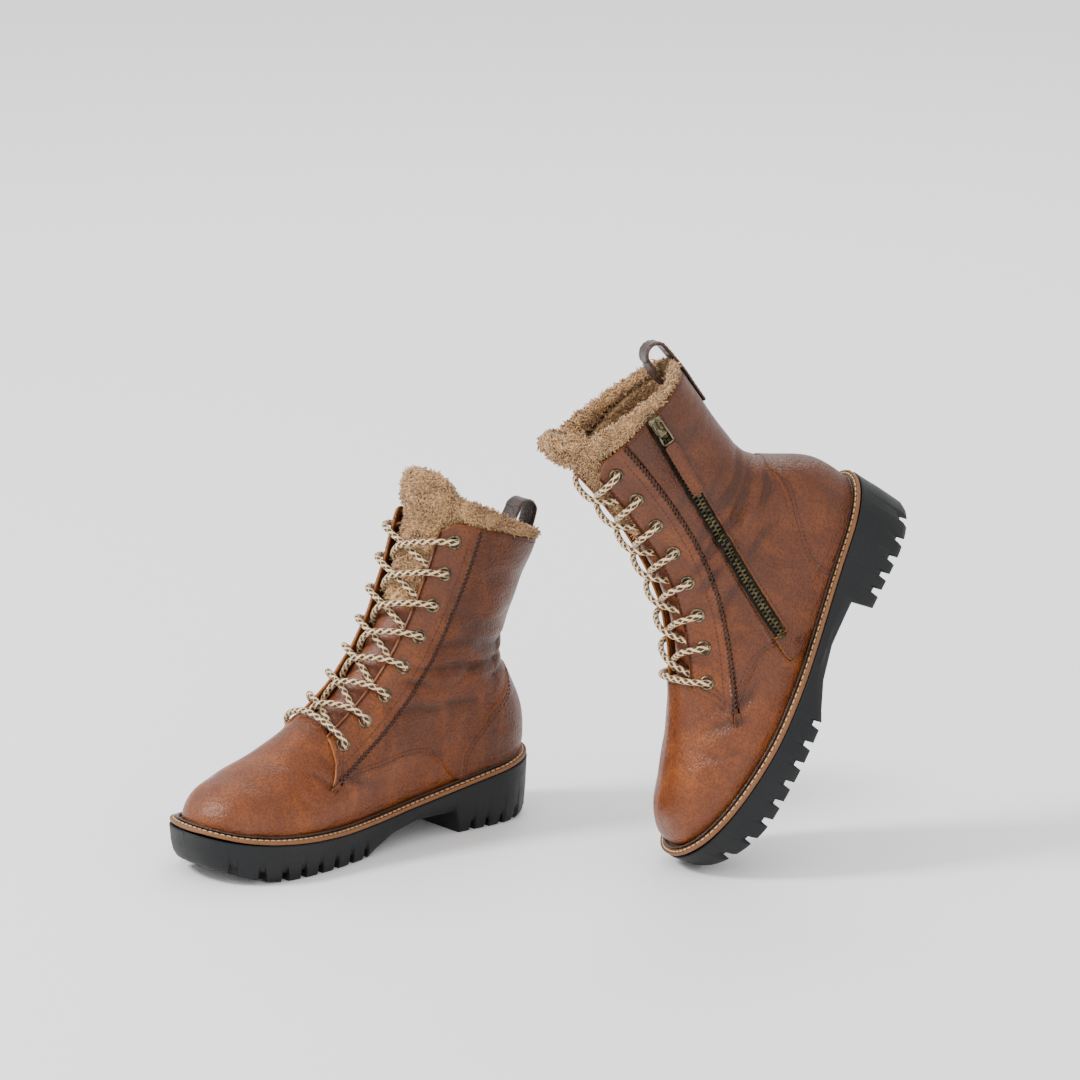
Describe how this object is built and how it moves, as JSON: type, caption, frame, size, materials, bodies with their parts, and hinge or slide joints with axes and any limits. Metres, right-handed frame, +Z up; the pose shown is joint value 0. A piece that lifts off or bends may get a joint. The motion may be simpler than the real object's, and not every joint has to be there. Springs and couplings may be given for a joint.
{
  "type": "pair of insulated hunting boots",
  "caption": "Pair of shearling-lined leather lace-up ankle boots with side zips, welted lug soles and heel pull loops; one boot stands flat, the other is up on its toe in mid step.",
  "frame": {"origin": "centre of the pair's footprint rectangle, on the floor", "axes": "+Z up; the standing right boot's toe points to -Y; +X is towards the wearer's left, where the stepping left boot is"},
  "size_m": [0.3074, 0.4394, 0.3521],
  "materials": {
    "leather": "semi-gloss grained cognac",
    "shearling": "deep fluffy pile",
    "rubber": "satin black",
    "welt_leather": "matte",
    "cork": "granular",
    "fibre_board": "matte fibreboard",
    "steel": "brushed",
    "brass": "antique",
    "zip_tape": "woven",
    "lace": "braided",
    "dark_leather": "satin dark brown",
    "nickel": "polished"
  },
  "bodies": {
    "right_boot": {"right_outsole": "rubber", "right_welt": "welt_leather", "right_cork_filler": "cork", "right_shank": "steel", "right_insole_board": "fibre_board", "right_footbed": "shearling", "right_toe_puff": "fibre_board", "right_heel_stiffener": "fibre_board", "right_vamp": "leather", "right_vamp_lining": "shearling", "right_inner_quarter": "leather", "right_outer_front_quarter": "leather", "right_outer_rear_quarter": "leather", "right_heel_counter": "leather", "right_inner_eyestay": "leather", "right_outer_eyestay": "leather", "right_inner_eyelets": "brass", "right_outer_eyelets": "brass", "right_quarter_lining": "shearling", "right_collar_shearling": "shearling", "right_lace": "lace", "right_zip_tape": "zip_tape", "right_zip_teeth": "brass", "right_heel_loop": "dark_leather", "right_loop_rivet": "nickel"},
    "right_tongue": {"right_tongue": "leather", "right_tongue_shearling": "shearling"},
    "right_zip_slider": {"right_zip_slider": "brass"},
    "right_zip_puller": {"right_zip_puller": "brass"},
    "right_leather_pull": {"right_leather_pull": "leather"},
    "left_boot": {"left_outsole": "rubber", "left_welt": "welt_leather", "left_cork_filler": "cork", "left_shank": "steel", "left_insole_board": "fibre_board", "left_footbed": "shearling", "left_toe_puff": "fibre_board", "left_heel_stiffener": "fibre_board", "left_vamp": "leather", "left_vamp_lining": "shearling", "left_inner_quarter": "leather", "left_outer_front_quarter": "leather", "left_outer_rear_quarter": "leather", "left_heel_counter": "leather", "left_inner_eyestay": "leather", "left_outer_eyestay": "leather", "left_inner_eyelets": "brass", "left_outer_eyelets": "brass", "left_quarter_lining": "shearling", "left_collar_shearling": "shearling", "left_lace": "lace", "left_zip_tape": "zip_tape", "left_zip_teeth": "brass", "left_heel_loop": "dark_leather", "left_loop_rivet": "nickel"},
    "left_tongue": {"left_tongue": "leather", "left_tongue_shearling": "shearling"},
    "left_zip_slider": {"left_zip_slider": "brass"},
    "left_zip_puller": {"left_zip_puller": "brass"},
    "left_leather_pull": {"left_leather_pull": "leather"}
  },
  "joints": [
    {"name": "right_tongue_swing", "type": "hinge", "parent": "right_boot", "child": "right_tongue", "pos_m": [-0.10045, -0.12376, 0.07935], "axis": [-1, 0, 0], "range_deg": [0, 4]},
    {"name": "right_zip_slide", "type": "slide", "parent": "right_boot", "child": "right_zip_slider", "axis": [0.0209, -0.4923, -0.8702], "range_m": [0, 0.14]},
    {"name": "right_puller_swing", "type": "hinge", "parent": "right_zip_slider", "child": "right_zip_puller", "pos_m": [-0.14687, 0.02738, 0.19981], "axis": [0.0388, 0.8701, -0.4914], "range_deg": [0, 110]},
    {"name": "right_pull_swing", "type": "hinge", "parent": "right_zip_puller", "child": "right_leather_pull", "pos_m": [-0.14751, 0.01901, 0.18493], "axis": [0.0388, 0.8701, -0.4914], "range_deg": [0, 80]},
    {"name": "left_tongue_swing", "type": "hinge", "parent": "left_boot", "child": "left_tongue", "pos_m": [0.0784, 0.05917, 0.11336], "axis": [-0.9311, 0.3463, -0.1149], "range_deg": [0, 4]},
    {"name": "left_zip_slide", "type": "slide", "parent": "left_boot", "child": "left_zip_slider", "axis": [0.2468, 0.4367, -0.8651], "range_m": [0, 0.14]},
    {"name": "left_puller_swing", "type": "hinge", "parent": "left_zip_slider", "child": "left_zip_puller", "pos_m": [0.09191, 0.02633, 0.30892], "axis": [-0.2128, -0.8465, -0.488], "range_deg": [0, 110]},
    {"name": "left_pull_swing", "type": "hinge", "parent": "left_zip_puller", "child": "left_leather_pull", "pos_m": [0.09706, 0.03347, 0.29429], "axis": [-0.2128, -0.8465, -0.488], "range_deg": [0, 80]},
    {"name": "left_heel_lift", "type": "hinge", "parent": "right_boot", "child": "left_boot", "pos_m": [0.06557, 0.09304, -0.00068], "axis": [0.9318, -0.2671, -0.2459], "range_deg": [-61.51, 0]}
  ]
}
